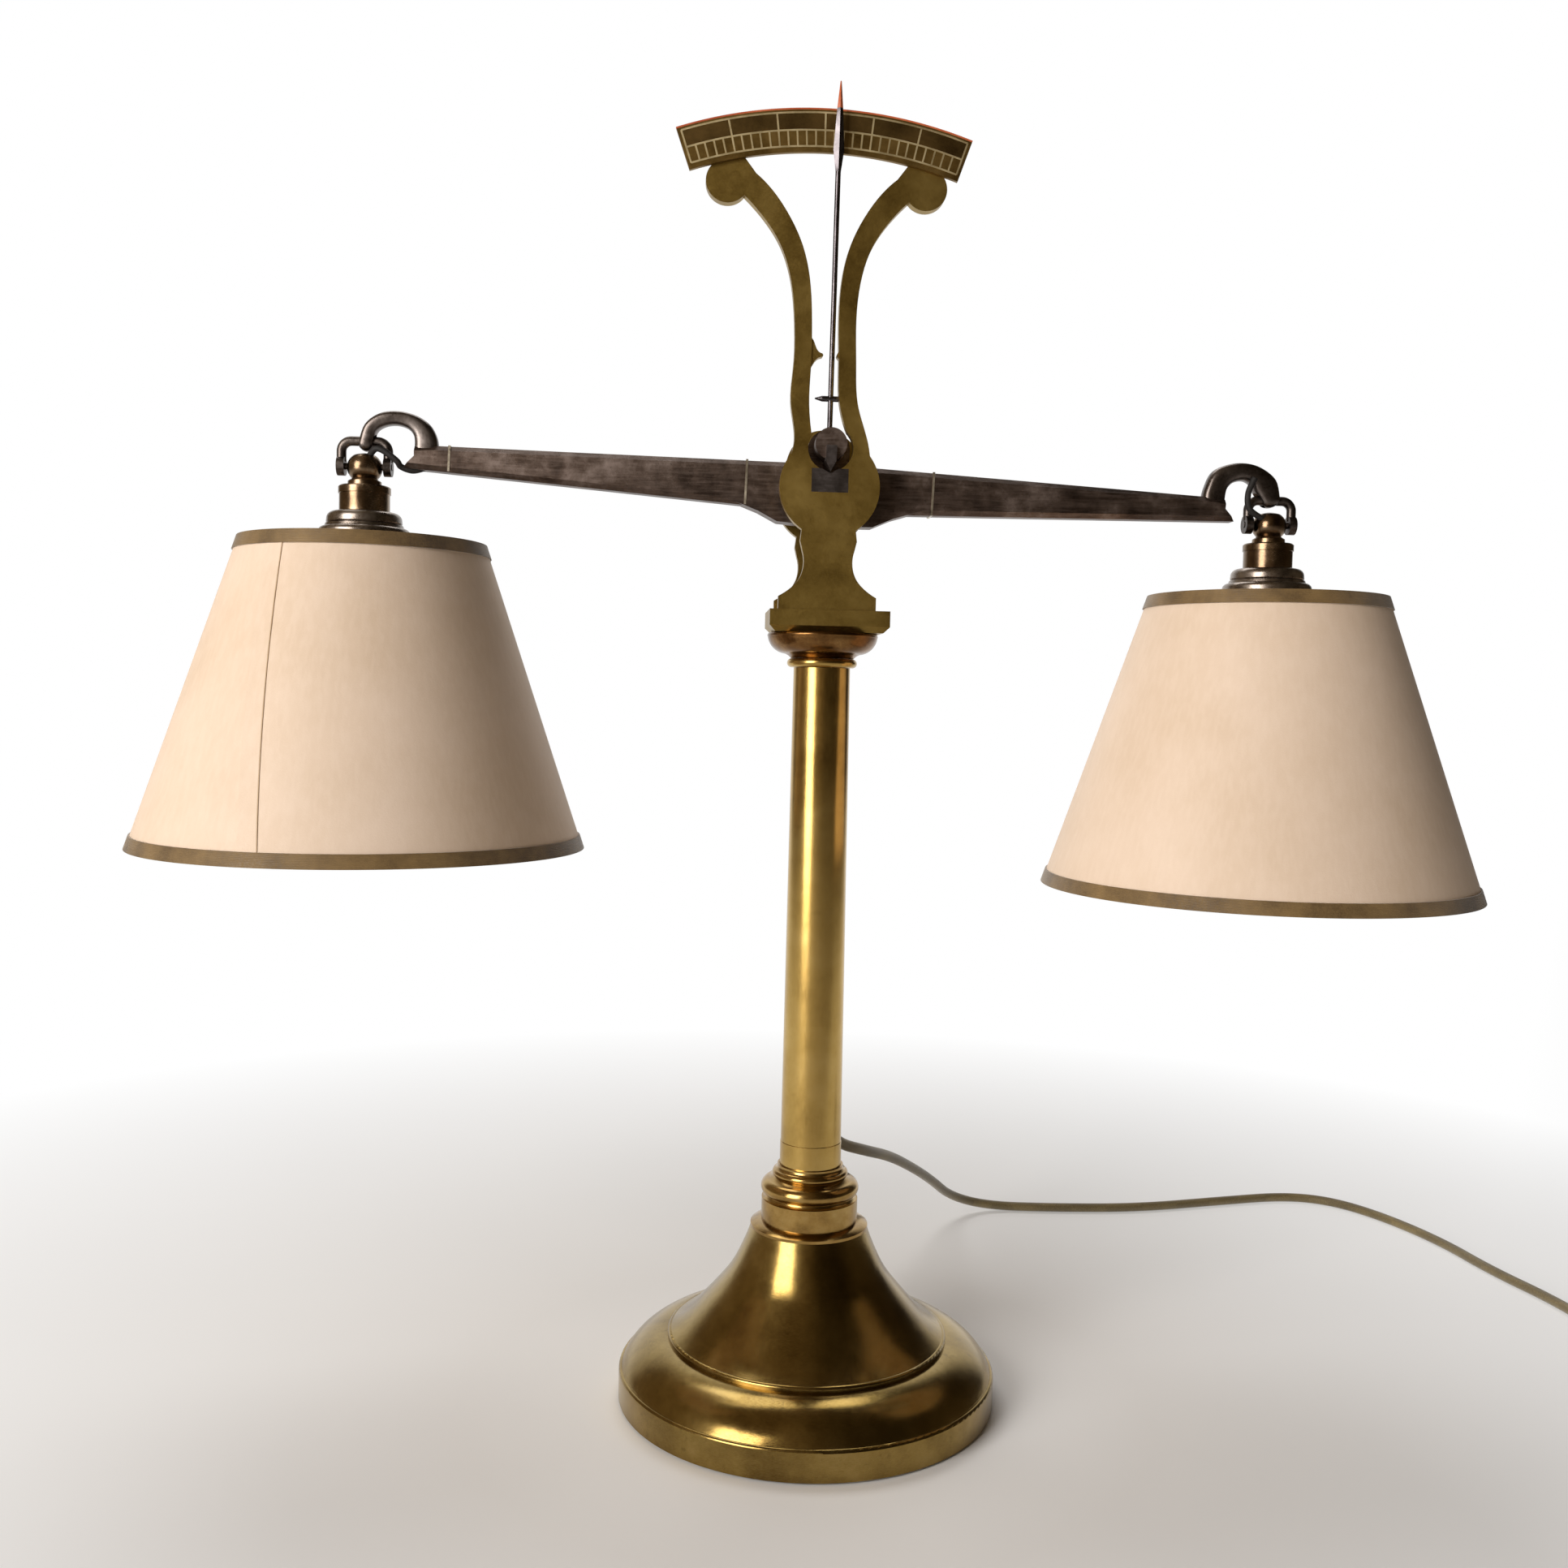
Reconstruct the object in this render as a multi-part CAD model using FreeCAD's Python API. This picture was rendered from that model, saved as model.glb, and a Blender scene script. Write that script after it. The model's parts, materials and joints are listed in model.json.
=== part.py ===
import FreeCAD, Part
import math
import os

# Twin-shade table lamp made from an equal-arm beam balance. Millimetres, +Z up, +X along the beam,
# the viewer's side is -Y. Origin: middle of the base's underside.

V = FreeCAD.Vector
os.makedirs("parts", exist_ok=True)

# ---------------------------------------------------------------- driving dimensions
BASE_R = 88.3            # foot of the spun base
FELT_T = 1.6             # felt under the base
SHELL_T = 1.4            # sheet thickness of the spun base
COL_R_LOW, COL_R_HIGH = 14.3, 13.1
COL_Z_LOW, COL_Z_HIGH = 107.5, 343.0
PLINTH_Z = (359.0, 368.8)
PLINTH_HX, PLINTH_HY = 27.2, 20.5
PLINTH_X = 1.4           # the head sits a little off the column's centre line
CHEEK_IN, CHEEK_OUT = 14.0, 19.0      # inner and outer faces of both cheek plates (|Y|)
DISC_Z = 424.0
HOLE_R, HOLE_Z = 10.2, 441.0
BEAR_HX, BEAR_Z = 8.3, (421.4, 432.0)
PIVOT_Z = 430.3          # knife edge line
TILT = 1.9               # degrees the beam hangs down on its right
SWAY = 3.2               # how far the worn lyre is bent to the left, just above the disc
DIAL_X = -5.9            # the dial follows the bent lyre
BEAM_HY = 5.5            # half thickness of the beam
BEAM_MID_Z = 425.3       # centre line of the beam before it tilts
BEAM_H0, BEAM_H1 = 11.0, 4.9          # half height at the middle and at the end
BEAM_RISE = 2.2          # the arms of the beam rise this much towards their ends
BEAM_END = 190.0
EYE_X, EYE_Z = 209.5, 433.2           # hole in the hook's tip before the beam tilts
EYE_BORE = 3.0
BALL_DROP = 11.3         # eye down to the middle of the ball
BALL_RISE = 33.7         # ball above the top of the shade
SHADE_R_TOP, SHADE_R_BOT, SHADE_H = 54.0, 100.0, 138.0
SHADE_T = 0.9
DIAL_CZ, DIAL_R = 388.8, (181.0, 200.0)
DIAL_HALF = 19.2         # degrees
POINTER_LEAN = 6.2       # degrees forward
CORD_R = 2.75

# lead up the back of the column, from the hole under the capital down to the sleeve
RISER = [(3.0, 9.0, 336.0), (3.0, 17.4, 330.0), (7.0, 17.2, 275.0), (13.4, 14.0, 228.0), (4.0, 18.4, 190.0),
         (1.0, 19.0, 150.0)]
LEAD_HOLE_END = (3.0, 21.4, 327.2)

# free lead from the sleeve to the floor and along it, as far as the coil; middle of the flex
CORD_ROUTE = [(1.0, 19.0, 150.0), (4.0, 20.5, 130.0), (14.0, 27.0, 112.0), (32.0, 47.0, 102.0),
              (50.0, 88.0, 87.0), (70.0, 140.0, 65.0), (91.0, 196.0, 40.0), (112.0, 243.0, 14.0),
              (140.0, 258.5, 2.75), (180.0, 254.6, 2.75), (237.0, 254.2, 2.75), (295.6, 267.6, 2.75),
              (344.0, 278.0, 2.75), (373.0, 268.0, 2.75), (394.0, 237.0, 2.75), (410.0, 190.0, 2.75),
              (415.5, 144.0, 2.75), (428.0, 95.0, 3.0), (430.5, 62.0, 3.35)]
COIL_AT = (466.0, 50.0)
COIL_R = (24.5, 30.0, 35.5)           # the three turns of each of the two layers
COIL_TURNS = 5.5
COIL_FOOT = 0.6                       # the tie passes under the coil
TAIL = [(501.5, 38.0, 8.85), (501.5, 62.0, 8.6), (501.5, 84.0, 7.2), (501.5, 98.0, 7.0)]
PLUG_Y = (92.0, 130.0)


# ---------------------------------------------------------------- small helpers
def save(name, shape):
    shape = shape.removeSplitter()
    if shape.ShapeType == "Compound" and len(shape.Solids) == 1:
        shape = shape.Solids[0]
    ok = shape.isValid()
    print(name, "solids", len(shape.Solids), "valid", ok, "vol %.1f" % shape.Volume)
    shape.exportStep("parts/" + name + ".step")


def turned(points):
    """Solid of revolution about Z from a list of (r, z) and ("arc", mid, end) or ("curve", points)."""
    edges = []
    here = points[0]
    for item in points[1:]:
        a = V(here[0], 0, here[1])
        if item[0] == "arc":
            m, e = item[1], item[2]
            edges.append(Part.Arc(a, V(m[0], 0, m[1]), V(e[0], 0, e[1])).toShape())
            here = e
        elif item[0] == "curve":
            pts = [a] + [V(p[0], 0, p[1]) for p in item[1]]
            curve = Part.BSplineCurve()
            curve.interpolate(pts)
            edges.append(curve.toShape())
            here = item[1][-1]
        else:
            edges.append(Part.makeLine(a, V(item[0], 0, item[1])))
            here = item
    if abs(here[0] - points[0][0]) + abs(here[1] - points[0][1]) > 1e-6:
        edges.append(Part.makeLine(V(here[0], 0, here[1]), V(points[0][0], 0, points[0][1])))
    return Part.Face(Part.Wire(edges)).revolve(V(0, 0, 0), V(0, 0, 1), 360)


def plate(items, y0, y1):
    """Closed outline in X-Z, items as in turned(), given thickness from y0 to y1."""
    edges = []
    here = items[0]
    for item in items[1:]:
        a = V(here[0], y0, here[1])
        if item[0] == "arc":
            m, e = item[1], item[2]
            edges.append(Part.Arc(a, V(m[0], y0, m[1]), V(e[0], y0, e[1])).toShape())
            here = e
        elif item[0] == "curve":
            curve = Part.BSplineCurve()
            curve.interpolate([a] + [V(p[0], y0, p[1]) for p in item[1]])
            edges.append(curve.toShape())
            here = item[1][-1]
        else:
            edges.append(Part.makeLine(a, V(item[0], y0, item[1])))
            here = item
    if abs(here[0] - items[0][0]) + abs(here[1] - items[0][1]) > 1e-6:
        edges.append(Part.makeLine(V(here[0], y0, here[1]), V(items[0][0], y0, items[0][1])))
    return Part.Face(Part.Wire(edges)).extrude(V(0, y1 - y0, 0))


def rod(p, q, r):
    p, q = V(*p), V(*q)
    return Part.makeCylinder(r, (q - p).Length, p, q - p)


def box(x0, x1, y0, y1, z0, z1):
    return Part.makeBox(x1 - x0, y1 - y0, z1 - z0, V(x0, y0, z0))


def ring(r0, r1, z0, z1):
    return Part.makeCylinder(r1, z1 - z0, V(0, 0, z0)).cut(Part.makeCylinder(r0, z1 - z0 + 2, V(0, 0, z0 - 1)))


def mirror_x(shape):
    return shape.mirror(V(0, 0, 0), V(1, 0, 0))


def tilted(shape):
    """A piece of the beam, turned with it about the knife edge."""
    out = shape.copy()
    out.rotate(V(0, 0, PIVOT_Z), V(0, 1, 0), TILT)
    return out


def beam_point(x, z):
    """Where a point of the level beam stands once the beam has tilted."""
    t = math.radians(TILT)
    dz = z - PIVOT_Z
    return (x * math.cos(t) + dz * math.sin(t), PIVOT_Z - x * math.sin(t) + dz * math.cos(t))


# ---------------------------------------------------------------- base
shell_out = [(BASE_R, 0.8), (BASE_R, 13.4), ("arc", (BASE_R - 0.4, 14.4), (BASE_R - 1.4, 14.8)),
             (BASE_R - 1.8, 15.6), ("curve", [(83.0, 20.6), (77.0, 25.4), (70.2, 28.2), (65.6, 28.8)]),
             (65.6, 30.4), ("arc", (65.0, 31.2), (64.0, 31.4)),
             ("curve", [(58.3, 35.4), (50.5, 43.0), (42.5, 52.2), (36.3, 60.5), (32.0, 69.0),
                        (29.0, 76.0), (27.4, 80.6)])]
shell_in = [(27.4 - SHELL_T, 80.6),
            ("curve", [(29.0 - SHELL_T, 75.4), (32.0 - SHELL_T, 68.2), (36.3 - SHELL_T, 59.6),
                       (42.5 - SHELL_T, 50.9), (50.5 - SHELL_T, 41.5), (58.5 - SHELL_T, 33.7),
                       (64.0, 29.6)]),
            (64.0, 27.2),
            ("curve", [(69.6, 26.6), (75.8, 24.0), (81.2, 19.6), (BASE_R - 3.2, 14.6)]),
            (BASE_R - SHELL_T, 12.6), (BASE_R - SHELL_T, 0.8)]
save("base_shell", turned(shell_out + shell_in))
save("base_felt", Part.makeCylinder(84.0, FELT_T, V(0, 0, 0)).cut(Part.makeCylinder(12, 4, V(0, 0, -1))))
save("column_socket", turned([(8.0, 76.5), (25.8, 76.5), (25.8, 80.7), (27.6, 80.7), (27.6, 82.0),
                              ("arc", (25.4, 83.0), (22.6, 83.6)), (22.6, 94.2),
                              ("arc", (21.0, 94.9), (20.6, 95.8)),
                              ("arc", (23.0, 99.4), (20.4, 103.0)),
                              ("arc", (18.0, 103.9), (17.0, 104.6)),
                              ("arc", (17.8, 106.2), (17.0, 107.6)),
                              ("arc", (15.6, 108.6), (15.4, 110.2)), (14.5, 110.2), (14.5, 107.3),
                              (8.0, 107.3)]))
column = turned([(COL_R_LOW - 1.5, COL_Z_LOW), (COL_R_LOW + 0.15, COL_Z_LOW), (COL_R_LOW + 0.1, 121.0),
                 (COL_R_LOW - 0.1, 121.3), (COL_R_HIGH, COL_Z_HIGH),
                 (COL_R_HIGH - 1.5, COL_Z_HIGH)])
save("column_tube", column.cut(rod(RISER[0], LEAD_HOLE_END, CORD_R + 0.9)))
nut = Part.Face(Part.makePolygon([V(8.1 * math.cos(math.radians(60 * i)), 8.1 * math.sin(math.radians(60 * i)),
                                    FELT_T + 0.2) for i in range(7)])).extrude(V(0, 0, 7.0))
rod_hole = Part.makeCylinder(4.05, 500, V(0, 0, -10))
weight_pocket = Part.makeCylinder(11.0, 8.0, V(0, 0, FELT_T))
save("base_nut", nut.cut(rod_hole))
save("base_weight", turned([(5.2, FELT_T), (85.2, FELT_T), (85.2, 11.0), (60.0, 24.5), (5.2, 24.5)])
     .cut(weight_pocket))
save("tie_rod", Part.makeCylinder(4.0, 358.0, V(0, 0, FELT_T + 1.0)))

# ---------------------------------------------------------------- head of the column
save("capital_ring", turned([(8.0, 343.2), (14.6, 343.2), ("arc", (16.2, 345.2), (14.8, 347.2)), (8.0, 347.2)]))
save("capital_cup", turned([(4.3, 347.4), (14.6, 347.4), ("arc", (15.6, 348.4), (17.4, 349.4)),
                            ("arc", (23.6, 352.8), (25.4, 357.0)), ("arc", (25.2, 358.6), (23.8, 358.9)),
                            (4.3, 358.9)]))
plinth = box(PLINTH_X - PLINTH_HX, PLINTH_X + PLINTH_HX, -PLINTH_HY, PLINTH_HY, *PLINTH_Z)
low_edges = [e for e in plinth.Edges if e.BoundBox.ZMax < PLINTH_Z[0] + 0.1]
plinth = plinth.makeChamfer(2.6, low_edges)
save("plinth", plinth.cut(Part.makeCylinder(4.05, 6, V(0, 0, 358))))


def cheek_outline(side):
    """Lower half of a cheek: foot, waist, small cusp and disc, one side from the foot to the arm."""
    join = (17.74, 438.0)
    pts = [(22.1, PLINTH_Z[1]), (22.1, 374.6), (16.8, 378.2), (12.7, 383.0), (11.0, 389.0), (11.7, 395.0),
           (12.8, 399.6), (12.2, 404.6), (22.6, 424.0), join]
    return [(side * x, z) for x, z in pts]


def cheek_body(y0, y1, top):
    r, l = cheek_outline(1), cheek_outline(-1)
    items = [l[0], r[0], r[1], ("curve", r[2:6]), r[6], r[7], ("arc", r[8], r[9])]
    items += top
    items += [("arc", l[8], l[7]), l[6], l[5], ("curve", [l[4], l[3], l[2], l[1]])]
    return plate(items, y0, y1)


# back cheek: foot, waist and disc, rounded over the pivot hole
back = cheek_body(CHEEK_IN, CHEEK_OUT, [("arc", (0, DISC_Z + 28.0 + 2.5), (-17.74, 438.0))])
pocket = box(-BEAR_HX, BEAR_HX, CHEEK_IN - 1, CHEEK_OUT + 1, *BEAR_Z)
back = back.cut(Part.makeCylinder(HOLE_R, 9, V(0, CHEEK_IN - 2, HOLE_Z), V(0, 1, 0))).cut(pocket)

# front cheek: the same foot and disc, carrying the lyre
ARM_OUT = [(17.74, 438.0), (16.4, 445.0), (15.1, 460.0), (14.0, 478.0), (13.75, 495.0), (15.9, 516.0),
           (20.6, 530.0), (30.0, 543.6), (36.8, 550.6)]
ARM_IN = [(31.5, 560.2), (24.0, 553.0), (17.5, 544.0), (10.6, 530.0), (7.25, 516.0), (6.0, 495.0),
          (6.2, 478.0), (6.9, 460.0), (7.6, 452.0), (8.25, 447.0)]
VOLUTE = (44.2, 556.5)
DIAL_FOOT = (40.0, DIAL_CZ + math.sqrt(DIAL_R[0] ** 2 - 40.0 ** 2) + 6.0)


def swayed(side, points):
    """Arm points for one side, with the whole lyre bent to the left above the disc."""
    out = []
    for x, z in points:
        bend = SWAY * min(max((z - 445.0) / 12.0, 0.0), 1.0) + 0.012 * max(z - 457.0, 0.0)
        out.append((side * x - bend, z))
    return out


def arm(side):
    """One arm of the lyre, from the disc up to the dial and back down its inner edge."""
    outer, inner = swayed(side, ARM_OUT), swayed(side, ARM_IN)
    top = swayed(side, [VOLUTE, (47.0, DIAL_FOOT[1] - 1.2), DIAL_FOOT])
    return outer, top, inner


outer, top, inner = arm(1)
right = [("curve", outer[1:])] + top + [inner[0], ("curve", inner[1:])]
outer, top, inner = arm(-1)
left = [inner[-1], ("curve", inner[::-1][1:])] + top[::-1] + [outer[-1], ("curve", outer[::-1][1:])]
front = cheek_body(-CHEEK_OUT, -CHEEK_IN, right + left)
front = front.cut(Part.makeCylinder(HOLE_R, 9, V(0, -CHEEK_OUT - 2, HOLE_Z), V(0, 1, 0)))
front = front.cut(box(-BEAR_HX, BEAR_HX, -CHEEK_OUT - 1, -CHEEK_IN + 1, *BEAR_Z))
for side in (-1, 1):
    x, z = swayed(side, [VOLUTE])[0]
    front = front.fuse(Part.makeCylinder(9.6, CHEEK_OUT - CHEEK_IN, V(x, -CHEEK_OUT, z), V(0, 1, 0)))
# stop spurs, pointing inward, that the pointer comes to rest against
for root, bend, tip, end in ((-11.6, -7.6, -4.2, -0.5), (4.6, 3.0, 1.7, 0.3)):
    spur = plate([(root, 474.5), (root, 490.5), ("curve", [(bend * 1.1, 487.6), (bend * 0.9, 484.2),
                                                           (tip + end, 482.9)]),
                  (tip, 482.2), (tip + end, 481.4), ("curve", [(bend * 0.95, 480.3), (bend * 1.15, 478.2),
                                                                (root, 474.5)])],
                 -CHEEK_OUT + 0.8, -CHEEK_IN)
    front = front.fuse(spur)
for name, y0, y1 in (("front_bearing", -CHEEK_OUT, -CHEEK_IN), ("back_bearing", CHEEK_IN, CHEEK_OUT)):
    block = box(-BEAR_HX + 0.02, BEAR_HX - 0.02, y0, y1, BEAR_Z[0] + 0.02, BEAR_Z[1])
    vee = plate([(0, PIVOT_Z - 0.4), (4.6, BEAR_Z[1] + 0.3), (-4.6, BEAR_Z[1] + 0.3)], y0 - 1, y1 + 1)
    save(name, block.cut(vee))

spacer = box(-15.0, 15.0, -CHEEK_IN, CHEEK_IN, PLINTH_Z[1], 380.0)
screw_spots = [(-9.0, 374.5), (9.0, 374.5)]
screw_hole = [rod((x, -25, z), (x, 25, z), 2.0) for x, z in screw_spots]
for hole in screw_hole:
    spacer = spacer.cut(hole)
    back = back.cut(hole)
save("head_spacer", spacer)
save("back_cheek", back)
screws = []
for x, z in screw_spots:
    shank = rod((x, -CHEEK_IN, z), (x, CHEEK_OUT, z), 1.98)
    head = rod((x, CHEEK_OUT, z), (x, CHEEK_OUT + 2.0, z), 3.8)
    slot = box(x - 5, x + 5, CHEEK_OUT + 1.2, CHEEK_OUT + 3, z - 0.5, z + 0.5)
    screws.append(shank.fuse(head).cut(slot))
save("cheek_screws", Part.makeCompound(screws))

# ---------------------------------------------------------------- dial
a0, a1 = math.radians(90 - DIAL_HALF), math.radians(90 + DIAL_HALF)


def on_dial(r, a):
    return (r * math.cos(a), DIAL_CZ + r * math.sin(a))


mid = math.radians(90)
DIAL_Y = (-CHEEK_OUT - 2.0, -CHEEK_OUT)
save("front_cheek", front)
dial = plate([on_dial(DIAL_R[0], a0), on_dial(DIAL_R[1], a0), ("arc", on_dial(DIAL_R[1], mid), on_dial(DIAL_R[1], a1)),
              on_dial(DIAL_R[0], a1), ("arc", on_dial(DIAL_R[0], mid), on_dial(DIAL_R[0], a0))], *DIAL_Y)
dial.translate(V(DIAL_X, 0, 0))
save("dial_plate", dial)

# ---------------------------------------------------------------- beam
END_MID_Z = BEAM_MID_Z + BEAM_RISE
half = [(0, BEAM_MID_Z + BEAM_H0), (26.0, BEAM_MID_Z + BEAM_H0 - 0.6),
        (177.0, END_MID_Z + BEAM_H1 + 0.4), (BEAM_END - 3.2, END_MID_Z + BEAM_H1 - 0.4),
        (BEAM_END - 3.4, END_MID_Z), (BEAM_END + 1.6, END_MID_Z - BEAM_H1 - 0.4),
        (38.0, BEAM_MID_Z - BEAM_H0 + 1.0), (31.0, BEAM_MID_Z - BEAM_H0 - 1.4), (22.0, 408.6), (0, 407.6)]
outline = half + [(-x, z) for x, z in half[::-1] if x > 0]
bar = plate(outline, -BEAM_HY, BEAM_HY)
long_edges = [e for e in bar.Edges if abs(e.BoundBox.YLength) < 0.01 and e.BoundBox.XLength > 100]
bar = bar.makeChamfer(2.2, long_edges)
knife = plate([(0, PIVOT_Z), (2.4, 435.4), (2.4, 442.2), (-2.4, 442.2), (-2.4, 435.4)], -20.4, 20.4)
HUB_Z, HUB_R = 443.4, 7.2
hub_top = [(6.6, HUB_Z + 5.6), (0, HUB_Z + 8.2), (-6.6, HUB_Z + 5.6), (-9.6, HUB_Z - 1.0)]
hub_web = plate([(-9.6, 434.0), (9.6, 434.0), (9.6, HUB_Z - 1.0), ("curve", hub_top)], -BEAM_HY, BEAM_HY)
hub = rod((0, -17.5, HUB_Z), (0, 17.5, HUB_Z), HUB_R).cut(knife)
bar = bar.fuse(hub_web).cut(rod((0, -17.5, HUB_Z), (0, 17.5, HUB_Z), HUB_R)).cut(knife)
save("beam", tilted(bar))
save("beam_hub", tilted(hub))
save("knife_edge", tilted(knife))


def swan_neck(crown, reach, inner):
    """Forged hook on the end of the beam: top of the arch, how far it reaches out, edge of its opening."""
    foot = END_MID_Z + BEAM_H1
    outline = [(176.4, foot + 0.3), ("curve", [(177.2, foot + 4.0), (180.4, crown - 5.4), (186.4, crown - 1.6),
                                               (194.6, crown), (203.0, crown - 1.4), (reach - 2.6, crown - 6.8),
                                               (reach, crown - 15.4)]),
               ("arc", (reach - 3.6, 428.9), (205.0, 432.2)), ("curve", inner), (187.2, foot - 0.6)]
    hook = plate(outline, -BEAM_HY + 1.2, BEAM_HY - 1.2)
    return hook.cut(bar).cut(rod((EYE_X - 12, 0, EYE_Z), (EYE_X + 12, 0, EYE_Z), EYE_BORE))


left_inner = [(205.0, 436.4), (201.0, 440.2), (195.2, 441.2), (189.4, 439.2), (187.2, 434.6)]
right_inner = [(200.8, 435.0), (200.0, 439.4), (195.6, 441.6), (190.4, 440.0), (187.6, 435.4)]
save("left_swan_neck", tilted(mirror_x(swan_neck(447.5, 212.2, left_inner))))
save("right_swan_neck", tilted(swan_neck(449.8, 213.6, right_inner)))

collars = []
for x, hh, rise in ((-171.0, 5.7, 2.1), (-37.0, 10.2, 0.3), (49.0, 9.95, 0.2)):
    frame = box(x - 0.5, x + 0.5, -BEAM_HY - 0.25, BEAM_HY + 0.25, BEAM_MID_Z + rise - hh, BEAM_MID_Z + rise + hh)
    collars.append(frame.cut(bar))
save("beam_bands", tilted(Part.makeCompound(collars)))

# ---------------------------------------------------------------- pointer
foot_y, foot_z = -11.0, HUB_Z + HUB_R - 0.6
lean = math.radians(POINTER_LEAN)


def on_pointer(z):
    return foot_y - (z - foot_z) * math.tan(lean)


stem = rod((0, on_pointer(foot_z), foot_z), (0, on_pointer(561.0), 561.0), 1.2)
stem = stem.cut(tilted(rod((0, -17.5, HUB_Z), (0, 17.5, HUB_Z), HUB_R)))
cross_y = on_pointer(464.0)
arm_r = rod((0, cross_y, 464.0), (4.0, cross_y, 464.0), 1.3)
arm_tip = Part.makeCone(1.3, 0.3, 3.2, V(4.0, cross_y, 464.0), V(1, 0, 0))
cross = arm_r.fuse(arm_tip)
cross = cross.fuse(mirror_x(cross))
stem = stem.fuse(cross)
save("pointer_stem", stem)


def lance(z0, z1, w0, w1):
    """Slice of the flat pointed blade between two heights, leaning with the stem."""
    y0, y1 = on_pointer(z0), on_pointer(z1)
    lo = Part.makePolygon([V(-w0, y0, z0), V(0, y0 - 0.9, z0), V(w0, y0, z0), V(0, y0 + 0.9, z0), V(-w0, y0, z0)])
    hi = Part.makePolygon([V(-w1, y1, z1), V(0, y1 - 0.9, z1), V(w1, y1, z1), V(0, y1 + 0.9, z1), V(-w1, y1, z1)])
    return Part.makeLoft([lo, hi], True, True)


save("pointer_blade", lance(561.0, 570.0, 1.2, 2.4).fuse(lance(570.0, 587.5, 2.4, 1.3)))
save("pointer_tip", lance(587.5, 598.4, 1.3, 0.3))


# ---------------------------------------------------------------- one hanging lamp, built with its shade top at z = 0
def shackle_shape():
    leg_x, bend, wire = 10.4, 4.6, 2.15
    zc = BALL_RISE
    zt = zc + BALL_DROP
    k = bend * (1 - math.sqrt(0.5))
    path = Part.Wire([
        Part.makeLine(V(-leg_x, 0, zc + 2.0), V(-leg_x, 0, zt - bend)),
        Part.Arc(V(-leg_x, 0, zt - bend), V(-leg_x + k, 0, zt - k), V(-leg_x + bend, 0, zt)).toShape(),
        Part.makeLine(V(-leg_x + bend, 0, zt), V(leg_x - bend, 0, zt)),
        Part.Arc(V(leg_x - bend, 0, zt), V(leg_x - k, 0, zt - k), V(leg_x, 0, zt - bend)).toShape(),
        Part.makeLine(V(leg_x, 0, zt - bend), V(leg_x, 0, zc + 2.0))])
    section = Part.Wire(Part.makeCircle(wire, V(-leg_x, 0, zc + 2.0), V(0, 0, 1)))
    body = path.makePipeShell([section], True, True)
    for s in (-1, 1):
        eye = Part.makeCylinder(4.3, 3.4, V(s * leg_x - 1.7, 0, zc), V(1, 0, 0))
        body = body.fuse(eye)
    return body.cut(rod((-20, 0, zc), (20, 0, zc), 1.55))


def cone_skin(r0, z0, r1, z1, t):
    return turned([(r0 - t, z0), (r0, z0), (r1, z1), (r1 - t, z1)])


slope = (SHADE_R_BOT - SHADE_R_TOP) / SHADE_H


def shade_r(z):
    return SHADE_R_TOP - slope * z


zc = BALL_RISE
ball_pin = rod((-12.4, 0, zc), (12.4, 0, zc), 1.5)
cap = turned([(0, 13.0), (11.2, 13.0), (11.2, 21.2), (11.6, 21.4), (11.6, 24.2), (11.0, 24.8), (7.6, 24.9),
              (7.4, 27.0), (5.6, 28.2), ("arc", (7.8, zc - 0.1), (4.8, zc + 5.0)), (2.4, zc + 5.7), (0, zc + 5.7)])
cap.rotate(V(0, 0, 0), V(0, 0, 1), 37)
cap = cap.cut(rod((-20, 0, zc), (20, 0, zc), 1.52))
upper_ring = turned([(6.0, 7.7), (16.4, 7.7), (16.8, 8.4), (16.6, 10.4), ("arc", (15.6, 12.2), (12.4, 12.9)),
                     (6.0, 12.9)])
lower_ring = turned([(13.6, 0.9), (20.4, 0.9), (20.6, 2.0), (20.2, 4.4), ("arc", (19.4, 5.6), (17.6, 6.2)),
                     (17.2, 7.5), (13.6, 7.5)])
socket = turned([(0, 7.4), (13.4, 7.4), (13.4, -30.0), (11.2, -30.0), (11.2, -6.0), (0, -6.0)])
thread_cap = turned([(0, -8.0), (9.6, -8.0), (10.9, -11.0), (10.9, -30.5), (8.6, -33.0), (0, -33.0)])
bulb = turned([(0, -33.2), (8.4, -33.2), ("curve", [(11.6, -38.0), (19.4, -46.0), (22.4, -57.5), (19.6, -69.0),
                                                    (11.4, -77.6), (0, -80.2)])])
skin_bottom, skin_top = -SHADE_H + 0.6, -0.6
shade = cone_skin(shade_r(skin_bottom), skin_bottom, shade_r(skin_top), skin_top, SHADE_T)
trim_top = cone_skin(shade_r(-6.0) + 0.75, -6.0, shade_r(0) + 0.75, 0.0, 0.7)
trim_bottom = cone_skin(shade_r(-SHADE_H) + 0.75, -SHADE_H, shade_r(-SHADE_H + 6.0) + 0.75, -SHADE_H + 6.0, 0.7)
wire_r = 1.3
ring_top_z = -3.2
ring_top_r = shade_r(ring_top_z) - SHADE_T - wire_r - 0.25
fitter = Part.makeTorus(ring_top_r, wire_r, V(0, 0, ring_top_z))
fitter = fitter.fuse(ring(13.5, 18.8, -2.4, 0.8))
for i in range(3):
    a = math.radians(90 + 120 * i)
    c, s = math.cos(a), math.sin(a)
    fitter = fitter.fuse(rod((17.0 * c, 17.0 * s, -1.2), (ring_top_r * c, ring_top_r * s, ring_top_z), 1.25))
ring_low_z = -SHADE_H + 3.0
ring_low_r = shade_r(ring_low_z) - SHADE_T - wire_r - 0.25
frame_wires = Part.makeCompound([fitter, Part.makeTorus(ring_low_r, wire_r, V(0, 0, ring_low_z))])

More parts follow.
